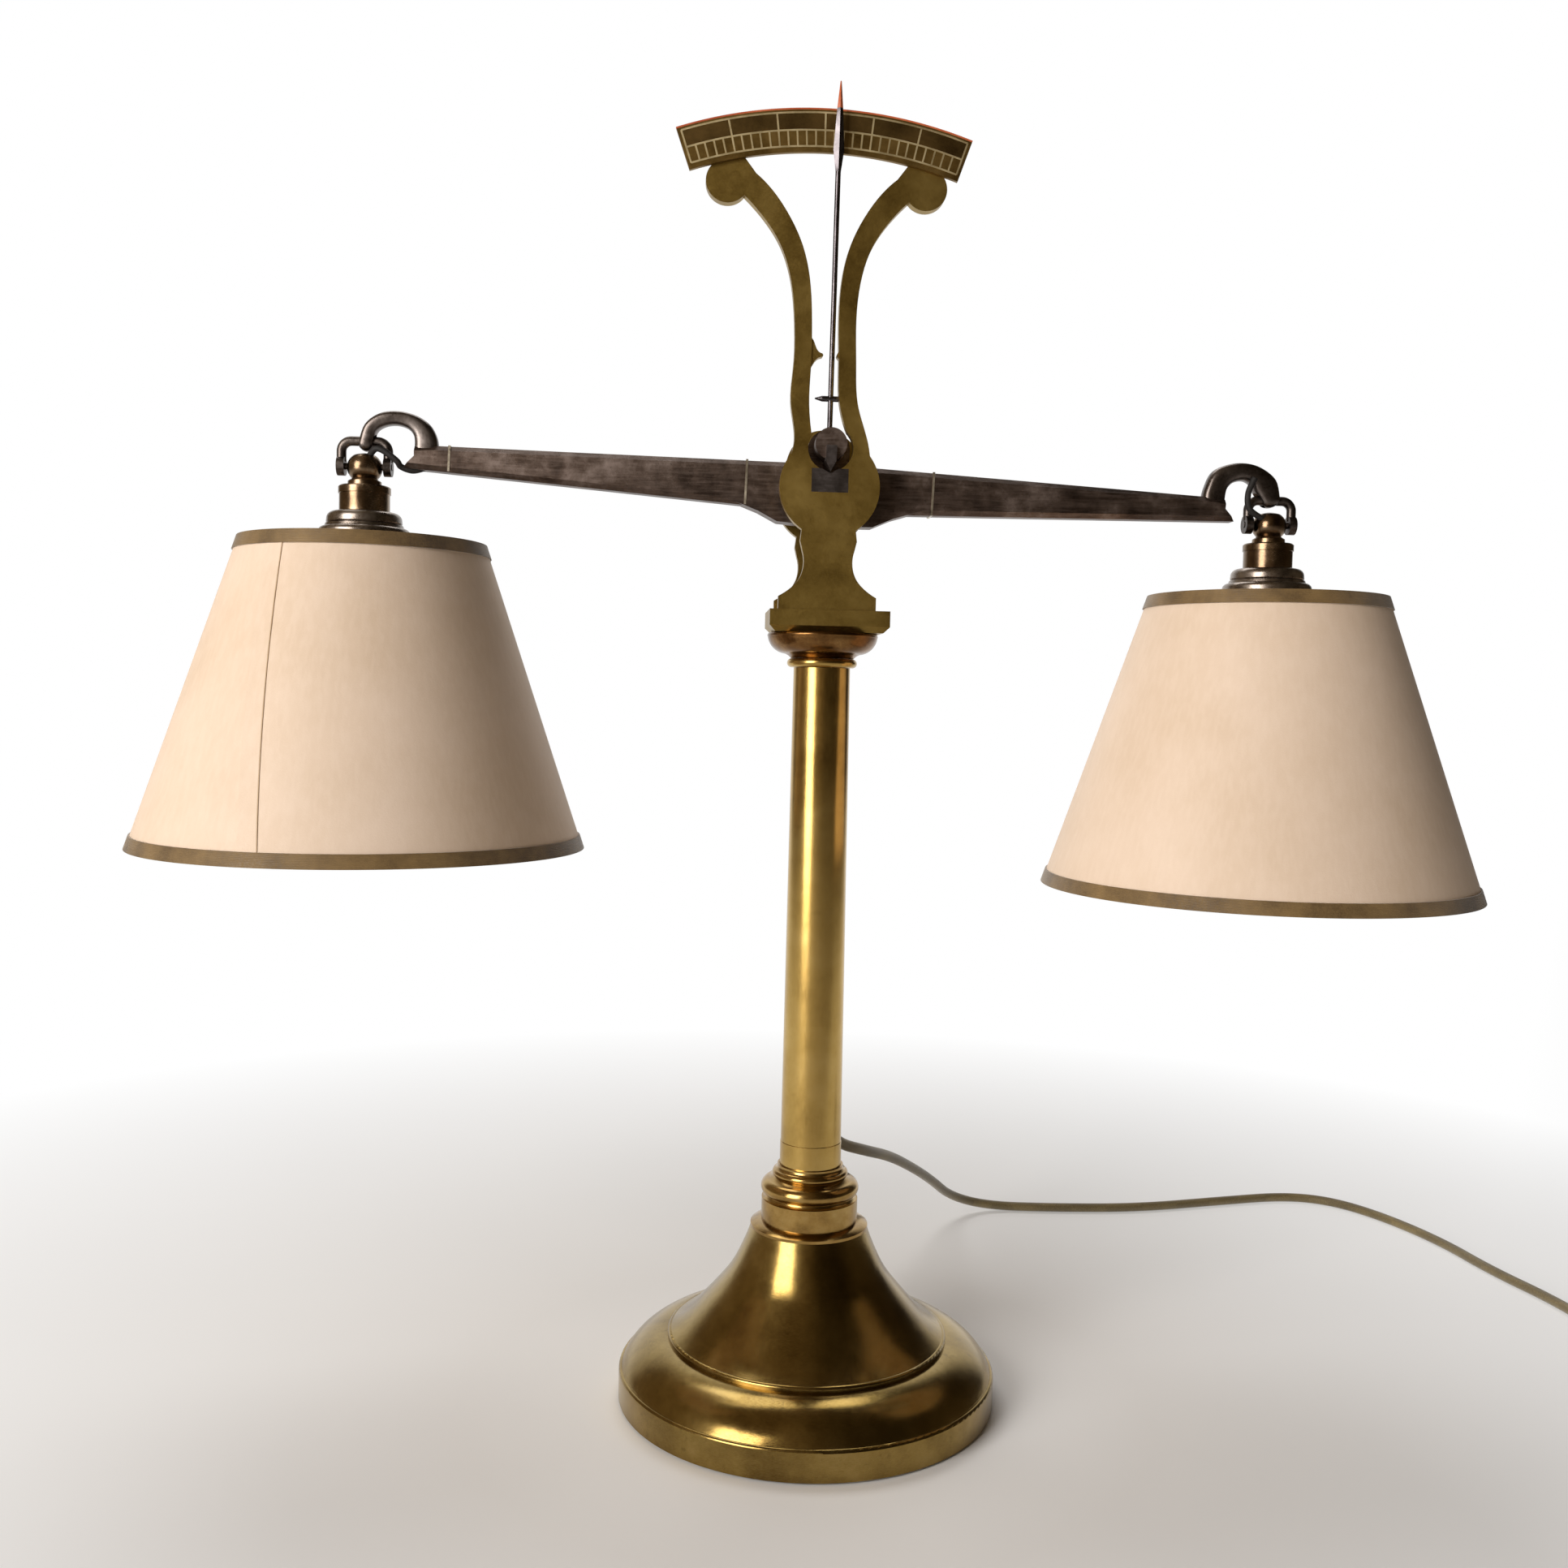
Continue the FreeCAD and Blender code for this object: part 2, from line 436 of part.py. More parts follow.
for side, name in ((-1, "left"), (1, "right")):
    ex, ez = beam_point(side * EYE_X, EYE_Z)
    zt = ez - BALL_DROP - BALL_RISE
    print(name, "eye at", round(ex, 3), round(ez, 3), "ball", round(ez - BALL_DROP, 3), "shade top", round(zt, 3))
    for piece, shape in (("shackle", shackle_shape()), ("ball_pin", ball_pin), ("lampholder_cap", cap),
                         ("upper_ring", upper_ring), ("lower_ring", lower_ring), ("socket", socket),
                         ("bulb_cap", thread_cap), ("bulb", bulb), ("shade_frame", frame_wires), ("shade", shade),
                         ("trim_top", trim_top), ("trim_bottom", trim_bottom)):
        moved = shape.copy()
        moved.translate(V(ex, 0, zt))
        save(name + "_" + piece, moved)


# ---------------------------------------------------------------- supply lead
def flex(points, r, label):
    """Round lead: straight runs joined by tangent arcs, each as large as its two runs allow."""
    pts = [V(*p) for p in points]
    edges = []
    here = pts[0]
    radii = []
    length = 0.0
    for i in range(1, len(pts) - 1):
        before, after = pts[i - 1] - pts[i], pts[i + 1] - pts[i]
        turn = math.pi - before.getAngle(after)
        reach = 0.45 * min(before.Length, after.Length)
        radii.append(reach / math.tan(turn / 2))
        a = pts[i] + before.normalize() * reach
        b = pts[i] + after.normalize() * reach
        inward = (before + after).normalize()
        centre = pts[i] + inward * (radii[-1] / math.cos(turn / 2))
        top = centre - inward * radii[-1]
        edges.append(Part.LineSegment(here, a).toShape())
        edges.append(Part.Arc(a, top, b).toShape())
        length += (a - here).Length + radii[-1] * turn
        here = b
    edges.append(Part.LineSegment(here, pts[-1]).toShape())
    length += (pts[-1] - here).Length
    path = Part.Wire(edges)
    circle = Part.Wire(Part.makeCircle(r, pts[0], pts[1] - pts[0]))
    tube = path.makePipeShell([circle], True, True)
    print(label, "length %.0f" % length, "volume ratio %.4f" % (tube.Volume / (math.pi * r * r * length)),
          "radii", [round(x) for x in radii])
    return tube, length


riser, _ = flex(RISER, CORD_R, "riser")
save("column_lead", riser)
sleeve_top = V(*RISER[-2]) + (V(*RISER[-1]) - V(*RISER[-2])) * 0.35
sleeve_axis = V(*RISER[-1]) - sleeve_top
sleeve = Part.makeCone(4.3, 3.3, sleeve_axis.Length, sleeve_top, sleeve_axis)
sleeve = sleeve.cut(rod(RISER[-2], V(*RISER[-1]) + sleeve_axis, CORD_R + 0.02))
save("lead_sleeve", sleeve)
clip = ring(COL_R_LOW, COL_R_LOW + 0.9, 162.0, 168.0).common(box(-13.0, 13.0, 6.5, 30.0, 162.0, 168.0))
clip_arm = ring(14.9, 24.4, 162.0, 168.0).common(box(-3.6, 8.2, 10.0, 30.0, 162.0, 168.0))
clip = clip.fuse(clip_arm).cut(sleeve).cut(rod(RISER[-2], RISER[-1], 4.15)).cut(column)
save("lead_clip", clip)
tube, tube_len = flex(CORD_ROUTE, CORD_R, "cord")
tail, tail_len = flex(TAIL, CORD_R, "tail")
save("cord_tube", Part.makeCompound([tube, tail]))
outer = COIL_R[-1] + CORD_R
inner = COIL_R[0] - CORD_R
coil = ring(inner, outer, COIL_FOOT, COIL_FOOT + 4 * CORD_R)
coil.translate(V(COIL_AT[0], COIL_AT[1], 0))
save("cord_coil", coil)
coil_len = COIL_TURNS * 2 * math.pi * COIL_R[1]
print("lead in all %.0f mm" % (tube_len + coil_len + tail_len))
tie_z = COIL_FOOT * 2 + 4 * CORD_R
tie = box(-3.0, 3.0, -outer - 0.6, -inner + 0.6, 0.0, tie_z)
tie = tie.cut(box(-4, 4, -outer - 0.02, -inner + 0.02, COIL_FOOT, tie_z - COIL_FOOT))
tie.translate(V(COIL_AT[0], COIL_AT[1], 0))
save("cord_tie", tie.cut(coil))
px, pz = TAIL[-1][0], TAIL[-1][2]
half_w, half_h = 17.5, 6.9
plug = plate([(px - half_w, pz), ("arc", (px - half_w + 2.2, pz + 5.2), (px - half_w + 7.0, pz + half_h)),
              (px + half_w - 7.0, pz + half_h), ("arc", (px + half_w - 2.2, pz + 5.2), (px + half_w, pz)),
              ("arc", (px + half_w - 2.2, pz - 5.2), (px + half_w - 7.0, pz - half_h)),
              (px - half_w + 7.0, pz - half_h), ("arc", (px - half_w + 2.2, pz - 5.2), (px - half_w, pz))],
             *PLUG_Y)
for s in (-1, 1):
    wedge = Part.Face(Part.makePolygon([V(px + s * 7.5, PLUG_Y[0] - 1, -1), V(px + s * 30, PLUG_Y[0] - 1, -1),
                                        V(px + s * 30, PLUG_Y[0] + 22, -1), V(px + s * 17.5, PLUG_Y[0] + 22, -1),
                                        V(px + s * 7.5, PLUG_Y[0] - 1, -1)])).extrude(V(0, 0, 20))
    plug = plug.cut(wedge)
save("plug_body", plug.cut(rod((px, PLUG_Y[0] - 2, pz), (px, TAIL[-1][1], pz), CORD_R + 0.02)))
pins = []
for s in (-1, 1):
    pin = rod((px + s * 9.5, PLUG_Y[1], pz), (px + s * 9.5, PLUG_Y[1] + 19, pz), 2.0)
    pins.append(pin)
save("plug_pins", Part.makeCompound(pins))

# ---------------------------------------------------------------- lamp wires along the back of the beam
wires = []
for side in (-1, 1):
    route = [(side * 8.0, 8.5, 417.0), (side * 40.0, 7.2, 418.6), (side * 110.0, 7.2, 421.8),
             (side * 182.0, 7.2, 425.2)]
    wires.append(tilted(flex(route, 1.3, "beam wire")[0]))
save("beam_wires", Part.makeCompound(wires))
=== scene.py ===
import json
import math
import bmesh
import bpy
from mathutils import Matrix, Vector


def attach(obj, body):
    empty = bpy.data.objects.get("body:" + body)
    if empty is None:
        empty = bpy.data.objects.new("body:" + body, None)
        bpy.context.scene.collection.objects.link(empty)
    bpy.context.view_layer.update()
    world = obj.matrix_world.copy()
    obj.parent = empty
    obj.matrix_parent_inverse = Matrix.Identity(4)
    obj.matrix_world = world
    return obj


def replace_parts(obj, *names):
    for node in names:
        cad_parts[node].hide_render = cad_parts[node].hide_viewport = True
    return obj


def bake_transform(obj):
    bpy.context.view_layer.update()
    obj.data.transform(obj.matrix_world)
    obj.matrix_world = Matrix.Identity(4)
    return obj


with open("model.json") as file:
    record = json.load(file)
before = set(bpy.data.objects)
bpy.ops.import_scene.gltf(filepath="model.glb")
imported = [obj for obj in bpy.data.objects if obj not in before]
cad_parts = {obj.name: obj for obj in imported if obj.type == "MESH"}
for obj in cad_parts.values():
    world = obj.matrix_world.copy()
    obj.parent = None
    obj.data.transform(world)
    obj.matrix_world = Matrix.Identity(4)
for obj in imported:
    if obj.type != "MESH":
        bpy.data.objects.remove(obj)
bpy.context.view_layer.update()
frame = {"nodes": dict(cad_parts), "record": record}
NODES = frame["nodes"]
MM = 0.001

# sizes that several pieces share, in metres unless said otherwise
TILT = math.radians(1.9)
PIVOT = Vector((0.0, 0.0, 0.4303))
SIDES = {"left": -1, "right": 1}
EYE = (209.5, 433.2)     # hole in the hook's tip before the beam tilts, mm
BALL_DROP = 0.0113       # eye down to the middle of the lampholder's ball
CORD_R = 0.00275
WIRE_R = 0.0014


# ---------------------------------------------------------------- materials
class Nodes:
    """Short hand for building one node material."""

    def __init__(self, name):
        self.mat = bpy.data.materials.new(name)
        self.mat.use_nodes = True
        self.tree = self.mat.node_tree
        self.shader = self.tree.nodes["Principled BSDF"]
        self.coord = self.add("ShaderNodeTexCoord").outputs["Object"]

    def add(self, kind, **values):
        """A new node with its properties set."""
        node = self.tree.nodes.new(kind)
        for key, value in values.items():
            setattr(node, key, value)
        return node

    def link(self, a, b):
        self.tree.links.new(a, b)

    def scaled(self, sx, sy, sz):
        """Object coordinates, stretched along the axes."""
        node = self.add("ShaderNodeMapping")
        node.inputs["Scale"].default_value = (sx, sy, sz)
        self.link(self.coord, node.inputs["Vector"])
        return node.outputs["Vector"]

    def noise(self, scale, detail=4.0, rough=0.55, vector=None):
        node = self.add("ShaderNodeTexNoise")
        node.inputs["Scale"].default_value = scale
        node.inputs["Detail"].default_value = detail
        node.inputs["Roughness"].default_value = rough
        self.link(vector or self.coord, node.inputs["Vector"])
        return node.outputs["Fac"]

    def ramp(self, fac, stops):
        """Colour ramp through stops of place and colour."""
        node = self.add("ShaderNodeValToRGB")
        ramp = node.color_ramp
        while len(ramp.elements) < len(stops):
            ramp.elements.new(0.5)
        for element, (place, colour) in zip(ramp.elements, stops):
            element.position = place
            element.color = (*colour, 1.0)
        self.link(fac, node.inputs["Fac"])
        return node.outputs["Color"]

    def mix(self, fac, a, b):
        """Colour a, with b laid over it by the linked share; a and b are colours or links."""
        node = self.add("ShaderNodeMix", data_type="RGBA")
        self.link(fac, node.inputs[0])
        for socket, value in ((node.inputs[6], a), (node.inputs[7], b)):
            if isinstance(value, tuple):
                socket.default_value = (*value, 1.0)
            else:
                self.link(value, socket)
        return node.outputs[2]

    def math(self, kind, a, b=0.0):
        node = self.add("ShaderNodeMath", operation=kind)
        for socket, value in ((node.inputs[0], a), (node.inputs[1], b)):
            if isinstance(value, (int, float)):
                socket.default_value = value
            else:
                self.link(value, socket)
        return node.outputs[0]

    def range(self, value, low, high, a=0.0, b=1.0):
        """The value's place between low and high, turned into one between a and b."""
        node = self.add("ShaderNodeMapRange")
        self.link(value, node.inputs["Value"])
        for key, number in (("From Min", low), ("From Max", high), ("To Min", a), ("To Max", b)):
            node.inputs[key].default_value = number
        return node.outputs["Result"]

    def bump(self, height, strength, distance, after=None):
        node = self.add("ShaderNodeBump")
        node.inputs["Strength"].default_value = strength
        node.inputs["Distance"].default_value = distance
        self.link(height, node.inputs["Height"])
        if after is not None:
            self.link(after, node.inputs["Normal"])
        return node.outputs["Normal"]

    def set(self, **sockets):
        """Sets or links the shader's sockets, and gives back the finished material."""
        for key, value in sockets.items():
            socket = self.shader.inputs[key.replace("_", " ")]
            if isinstance(value, (int, float)):
                socket.default_value = value
            elif isinstance(value, tuple):
                socket.default_value = (*value, 1.0)
            else:
                self.link(value, socket)
        return self.mat


def aged_metal(name, dark, mid, bright, rough=(0.18, 0.38), patch=45.0, grain=900.0,
               grain_axis=(1, 1, 1), bump=0.25, spots=0.0):
    """Worn metal: broad patina patches, small pits and fine turning or brushing marks."""
    n = Nodes(name)
    patina = n.noise(patch, 6.0, 0.62)
    fine = n.noise(grain, 3.0, 0.6, n.scaled(*grain_axis))
    colour = n.ramp(patina, [(0.30, dark), (0.52, mid), (0.74, bright)])
    specks = n.range(n.noise(patch * 9.0, 5.0, 0.7), 0.60, 0.72)
    colour = n.mix(n.math("MULTIPLY", specks, spots), colour, tuple(c * 0.35 for c in dark))
    colour = n.mix(n.range(fine, 0.35, 0.7, 0.0, 0.28), colour, bright)
    blend = n.math("ADD", n.math("MULTIPLY", patina, 0.65), n.math("MULTIPLY", fine, 0.35))
    roughness = n.range(blend, 0.35, 0.65, rough[0], rough[1])
    normal = n.bump(fine, bump, 0.00012)
    normal = n.bump(n.noise(patch * 2.2, 3.0), bump * 0.5, 0.0004, normal)
    return n.set(Base_Color=colour, Metallic=1.0, Roughness=roughness, Normal=normal)


def card(name, base, shade, fleck):
    """Parchment card: cloudy tone, faint laid lines down the cone and paper grain."""
    n = Nodes(name)
    cloud = n.noise(16.0, 5.0, 0.6)
    lines = n.noise(420.0, 2.0, 0.5, n.scaled(1.0, 1.0, 0.05))
    grain = n.noise(1500.0, 3.0, 0.6)
    colour = n.ramp(cloud, [(0.3, shade), (0.7, base)])
    colour = n.mix(n.range(lines, 0.4, 0.65, 0.0, 0.22), colour, fleck)
    colour = n.mix(n.range(grain, 0.45, 0.75, 0.0, 0.15), colour, shade)
    normal = n.bump(grain, 0.18, 0.0002)
    normal = n.bump(lines, 0.12, 0.0003, normal)
    return n.set(Base_Color=colour, Roughness=n.range(grain, 0.3, 0.7, 0.55, 0.75), Normal=normal,
                 Sheen_Weight=0.1)


def ribbon(name, dark, light):
    """Ribbed bias binding."""
    n = Nodes(name)
    ribs = n.add("ShaderNodeTexWave", wave_type="BANDS", bands_direction="Z")
    ribs.inputs["Scale"].default_value = 480.0
    ribs.inputs["Distortion"].default_value = 1.5
    n.link(n.coord, ribs.inputs["Vector"])
    wear = n.noise(60.0, 5.0, 0.6)
    threads = n.noise(1800.0, 2.0, 0.5, n.scaled(1, 1, 0.3))
    colour = n.ramp(wear, [(0.32, dark), (0.7, light)])
    colour = n.mix(n.range(threads, 0.4, 0.7, 0.0, 0.4), colour, light)
    normal = n.bump(ribs.outputs["Fac"], 0.3, 0.0002)
    return n.set(Base_Color=colour, Roughness=n.range(threads, 0.3, 0.7, 0.45, 0.7), Normal=normal,
                 Sheen_Weight=0.3, Specular_IOR_Level=0.4)


def moulded(name, colour, light, rough=0.4, scale=1400.0):
    """Moulded plastic, rubber or enamel: fine grain with slight tone and gloss changes."""
    n = Nodes(name)
    grain = n.noise(scale, 3.0, 0.6)
    tone = n.noise(35.0, 4.0, 0.6)
    mixed = n.ramp(tone, [(0.3, colour), (0.75, light)])
    return n.set(Base_Color=mixed, Roughness=n.range(grain, 0.3, 0.7, rough - 0.08, rough + 0.12),
                 Normal=n.bump(grain, 0.12, 0.0001))


def braided(name, dark, mid, light):
    """Braided flex: crossing threads round the cord."""
    n = Nodes(name)
    uv = n.add("ShaderNodeTexCoord").outputs["UV"]
    turn = n.add("ShaderNodeMapping")
    turn.inputs["Scale"].default_value = (260.0, 3.0, 1.0)
    n.link(uv, turn.inputs["Vector"])
    cross = n.add("ShaderNodeTexChecker")
    cross.inputs["Scale"].default_value = 1.0
    n.link(turn.outputs["Vector"], cross.inputs["Vector"])
    threads = n.noise(2400.0, 2.0, 0.5)
    tone = n.noise(30.0, 4.0, 0.6)
    colour = n.ramp(tone, [(0.3, dark), (0.7, mid)])
    colour = n.mix(n.range(threads, 0.4, 0.7, 0.0, 0.6), colour, light)
    colour = n.mix(n.math("MULTIPLY", cross.outputs["Fac"], 0.25), colour, dark)
    return n.set(Base_Color=colour, Roughness=n.range(threads, 0.3, 0.7, 0.42, 0.7),
                 Normal=n.bump(threads, 0.5, 0.0003), Sheen_Weight=0.35)


MATS = {
    "base_brass": aged_metal("base_brass", (0.11, 0.064, 0.016), (0.265, 0.178, 0.052),
                             (0.43, 0.31, 0.115), (0.14, 0.25), 26.0, 700.0, (1, 1, 6), 0.15, 0.35),
    "socket_brass": aged_metal("socket_brass", (0.16, 0.085, 0.022), (0.35, 0.215, 0.064),
                               (0.52, 0.365, 0.14), (0.14, 0.25), 60.0, 900.0, (1, 1, 6), 0.15, 0.3),
    "column_brass": aged_metal("column_brass", (0.28, 0.17, 0.042), (0.46, 0.30, 0.085),
                               (0.60, 0.42, 0.15), (0.17, 0.27), 22.0, 800.0, (5, 5, 0.25), 0.12, 0.15),
    "capital_bronze": aged_metal("capital_bronze", (0.05, 0.022, 0.007), (0.15, 0.07, 0.022),
                                 (0.33, 0.19, 0.07), (0.14, 0.30), 70.0, 900.0, (1, 1, 6), 0.2, 0.4),
    "head_brass": aged_metal("head_brass", (0.19, 0.12, 0.024), (0.28, 0.185, 0.045),
                             (0.36, 0.25, 0.075), (0.32, 0.46), 38.0, 1300.0, (1, 1, 1), 0.2, 0.2),
    "screw_brass": aged_metal("screw_brass", (0.14, 0.09, 0.03), (0.32, 0.22, 0.08), (0.5, 0.38, 0.17),
                              (0.2, 0.35), 120.0, 1500.0),
    "bearing_steel": aged_metal("bearing_steel", (0.055, 0.047, 0.045), (0.10, 0.087, 0.083),
                                (0.17, 0.15, 0.15), (0.3, 0.46), 120.0, 1600.0, (0.1, 1, 4), 0.25, 0.2),
    "dial_brass": aged_metal("dial_brass", (0.13, 0.078, 0.02), (0.20, 0.125, 0.035), (0.28, 0.18, 0.06),
                             (0.36, 0.5), 50.0, 1400.0, (1, 1, 1), 0.2, 0.2),
    "beam_steel": aged_metal("beam_steel", (0.045, 0.031, 0.025), (0.11, 0.078, 0.062),
                             (0.27, 0.215, 0.19), (0.34, 0.52), 70.0, 620.0, (0.12, 1, 1.6), 0.6, 0.7),
    "band_steel": aged_metal("band_steel", (0.3, 0.26, 0.2), (0.5, 0.45, 0.36), (0.7, 0.64, 0.52),
                             (0.3, 0.45), 120.0, 1200.0),
    "hook_steel": aged_metal("hook_steel", (0.05, 0.04, 0.035), (0.12, 0.10, 0.09), (0.24, 0.21, 0.195),
                             (0.24, 0.40), 60.0, 700.0, (1, 1, 1), 0.3, 0.35),
    "shackle_steel": aged_metal("shackle_steel", (0.03, 0.025, 0.022), (0.09, 0.075, 0.068),
                                (0.2, 0.17, 0.15), (0.28, 0.45), 120.0, 900.0),
    "rod_steel": aged_metal("rod_steel", (0.25, 0.25, 0.25), (0.42, 0.42, 0.42), (0.6, 0.6, 0.6),
                            (0.3, 0.45), 90.0, 900.0),
    "iron_weight": aged_metal("iron_weight", (0.03, 0.03, 0.03), (0.07, 0.068, 0.066), (0.12, 0.11, 0.1),
                              (0.5, 0.7), 60.0, 500.0, (1, 1, 1), 0.8, 0.4),
    "pointer_steel": aged_metal("pointer_steel", (0.035, 0.032, 0.035), (0.10, 0.09, 0.096),
                                (0.20, 0.18, 0.185), (0.22, 0.36), 120.0, 1400.0, (1, 1, 0.2), 0.2, 0.3),
    "pointer_red": moulded("pointer_red", (0.36, 0.065, 0.02), (0.56, 0.14, 0.05), 0.4),
    "holder_brass": aged_metal("holder_brass", (0.06, 0.034, 0.02), (0.165, 0.108, 0.062),
                               (0.36, 0.27, 0.18), (0.14, 0.30), 90.0, 1000.0, (1, 1, 6), 0.2, 0.35),
    "holder_pewter": aged_metal("holder_pewter", (0.09, 0.07, 0.055), (0.24, 0.20, 0.17),
                                (0.48, 0.43, 0.38), (0.2, 0.36), 90.0, 1000.0, (1, 1, 6), 0.25, 0.35),
    "bulb_metal": aged_metal("bulb_metal", (0.4, 0.38, 0.35), (0.55, 0.53, 0.5), (0.7, 0.68, 0.65),
                             (0.25, 0.4), 120.0, 1200.0),
    "frame_wire": aged_metal("frame_wire", (0.3, 0.22, 0.1), (0.5, 0.4, 0.2), (0.66, 0.55, 0.32),
                             (0.25, 0.4), 120.0, 1200.0),
    "clip_brass": aged_metal("clip_brass", (0.14, 0.09, 0.03), (0.36, 0.25, 0.09), (0.5, 0.38, 0.17),
                             (0.2, 0.35), 90.0, 1100.0),
    "pin_metal": aged_metal("pin_metal", (0.5, 0.5, 0.48), (0.66, 0.66, 0.64), (0.78, 0.78, 0.75),
                            (0.15, 0.28), 120.0, 1200.0),
    "felt_green": moulded("felt_green", (0.03, 0.06, 0.035), (0.06, 0.1, 0.06), 0.85, 2500.0),
    "wire_black": moulded("wire_black", (0.006, 0.005, 0.005), (0.014, 0.012, 0.011), 0.7),
    "sleeve_rubber": moulded("sleeve_rubber", (0.02, 0.015, 0.01), (0.045, 0.035, 0.025), 0.55),
    "socket_black": moulded("socket_black", (0.015, 0.012, 0.01), (0.035, 0.03, 0.025), 0.35),
    "tie_black": moulded("tie_black", (0.012, 0.012, 0.012), (0.03, 0.03, 0.03), 0.5),
    "plug_plastic": moulded("plug_plastic", (0.02, 0.014, 0.01), (0.045, 0.032, 0.022), 0.38),
    "shade_card": card("shade_card", (0.75, 0.60, 0.475), (0.66, 0.51, 0.375), (0.79, 0.65, 0.53)),
    "shade_trim": ribbon("shade_trim", (0.075, 0.042, 0.012), (0.21, 0.13, 0.045)),
    "flex_cloth": braided("flex_cloth", (0.07, 0.05, 0.018), (0.17, 0.125, 0.045), (0.32, 0.25, 0.11)),
}


def opal_glass(name):
    """Opal glass: milky, slightly glossy."""
    n = Nodes(name)
    cloud = n.noise(60.0, 3.0)
    colour = n.ramp(cloud, [(0.3, (0.86, 0.85, 0.82)), (0.7, (0.93, 0.92, 0.89))])
    return n.set(Base_Color=colour, Roughness=n.range(cloud, 0.3, 0.7, 0.12, 0.2), Coat_Weight=0.4)


MATS["bulb_glass"] = opal_glass("bulb_glass")
# variants of a slot's finish, for details on a piece
MATS["dial_lines"] = aged_metal("dial_lines", (0.46, 0.37, 0.19), (0.62, 0.51, 0.29), (0.74, 0.64, 0.40),
                                (0.4, 0.55), 90.0, 1400.0)
MATS["dial_panels"] = aged_metal("dial_panels", (0.06, 0.036, 0.012), (0.10, 0.062, 0.020),
                                 (0.15, 0.09, 0.03), (0.4, 0.55), 60.0, 1400.0)
# darker copy of the card, for the thin strip along each lap's edge: a painted shadow of that edge
MATS["painted_seam_shadow"] = card("painted_seam_shadow", (0.52, 0.38, 0.25), (0.43, 0.30, 0.18), (0.6, 0.45, 0.30))

SLOT_OF = {entry["node"]: entry["material_slot"] for entry in frame["record"]["subparts"]}
for node_name, node in NODES.items():
    node.data.materials.clear()
    node.data.materials.append(MATS[SLOT_OF[node_name]])


# ---------------------------------------------------------------- building helpers
def piece(name, mesh_or_curve, body, slot_name, finish=None):
    """A new named piece that rides on a body, in a record slot's finish or a variant of it."""
    obj = bpy.data.objects.new(name, mesh_or_curve)
    bpy.context.scene.collection.objects.link(obj)
    obj.data.materials.append(MATS[finish or slot_name])
    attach(obj, body)
    return obj


def mesh_from(name, verts, faces, smooth=True):
    """A mesh with all its faces turned outwards."""
    mesh = bpy.data.meshes.new(name)
    mesh.from_pydata([tuple(v) for v in verts], [], faces)
    mesh.validate()
    form = bmesh.new()
    form.from_mesh(mesh)
    bmesh.ops.recalc_face_normals(form, faces=form.faces)
    form.to_mesh(mesh)
    form.free()
    if smooth:
        mesh.shade_smooth()
    return mesh


def skin_rings(count, sides, faces, first=0):
    """Faces of a closed skin over rings of points, with a flat face on each end."""
    for i in range(count - 1):
        for k in range(sides):
            a, b = first + i * sides + k, first + i * sides + (k + 1) % sides
            faces.append((a, b, b + sides, a + sides))
    last = first + (count - 1) * sides
    faces.append(tuple(first + k for k in reversed(range(sides))))
    faces.append(tuple(last + k for k in range(sides)))


def tilted(p):
    """A point of the level beam, once the beam has tilted about the knife edge."""
    return PIVOT + Matrix.Rotation(TILT, 3, "Y") @ (Vector(p) - PIVOT)


def smooth_line(points, per_span):
    """Points along a smooth line through the given ones."""
    ends = [points[0]] + points + [points[-1]]
    line = []
    for i in range(1, len(ends) - 2):
        p0, p1, p2, p3 = ends[i - 1:i + 3]
        for k in range(per_span):
            t = k / per_span
            line.append(0.5 * ((2 * p1) + (p2 - p0) * t + (2 * p0 - 5 * p1 + 4 * p2 - p3) * t * t
                               + (3 * p1 - p0 - 3 * p2 + p3) * t ** 3))
    line.append(points[-1])
    return line


def tube(name, points, radius, sides=10, per_span=8):
    """Round rod or wire as a closed mesh, swept along a smooth line through the points."""
    line = smooth_line([Vector(p) for p in points], per_span)
    verts, faces = [], []
    side = Vector((0.0, 1.0, 0.0))
    for i, at in enumerate(line):
        ahead = (line[min(i + 1, len(line) - 1)] - line[max(i - 1, 0)]).normalized()
        side = (side - ahead * side.dot(ahead)).normalized()
        other = ahead.cross(side)
        for k in range(sides):
            angle = 2 * math.pi * k / sides
            verts.append(at + radius * (math.cos(angle) * side + math.sin(angle) * other))
    skin_rings(len(line), sides, faces)
    return mesh_from(name, verts, faces)


def nurbs(name, points, radius):
    """Round cord on one smooth open spline through its control points."""
    curve = bpy.data.curves.new(name, "CURVE")
    curve.dimensions = "3D"
    curve.bevel_depth = radius
    curve.bevel_resolution = 5
    curve.resolution_u = 12
    curve.use_fill_caps = True
    spline = curve.splines.new("NURBS")
    spline.points.add(len(points) - 1)
    for point, co in zip(spline.points, points):
        point.co = (*co, 1.0)
    spline.order_u = 3
    spline.use_endpoint_u = True
    return curve


# ---------------------------------------------------------------- camera
SENSOR, LENS = 36.0, 35.07            # mm
CAMERA_AT = (-0.0634, -0.7078, 0.3273)
CAMERA_TURN = (-3.80, -3.10, 1.275)   # yaw, pitch and roll, degrees


def make_camera():
    data = bpy.data.cameras.new("camera")
    data.sensor_width = SENSOR
    data.lens = LENS
    data.clip_start = 0.01
    cam = bpy.data.objects.new("camera", data)
    bpy.context.scene.collection.objects.link(cam)
    yaw, pitch, roll = [math.radians(angle) for angle in CAMERA_TURN]
    turn = Matrix.Rotation(yaw, 4, "Z") @ Matrix.Rotation(math.pi / 2 + pitch, 4, "X")
    turn = turn @ Matrix.Rotation(roll, 4, "Z")
    cam.matrix_world = Matrix.Translation(CAMERA_AT) @ turn
    bpy.context.scene.camera = cam


make_camera()


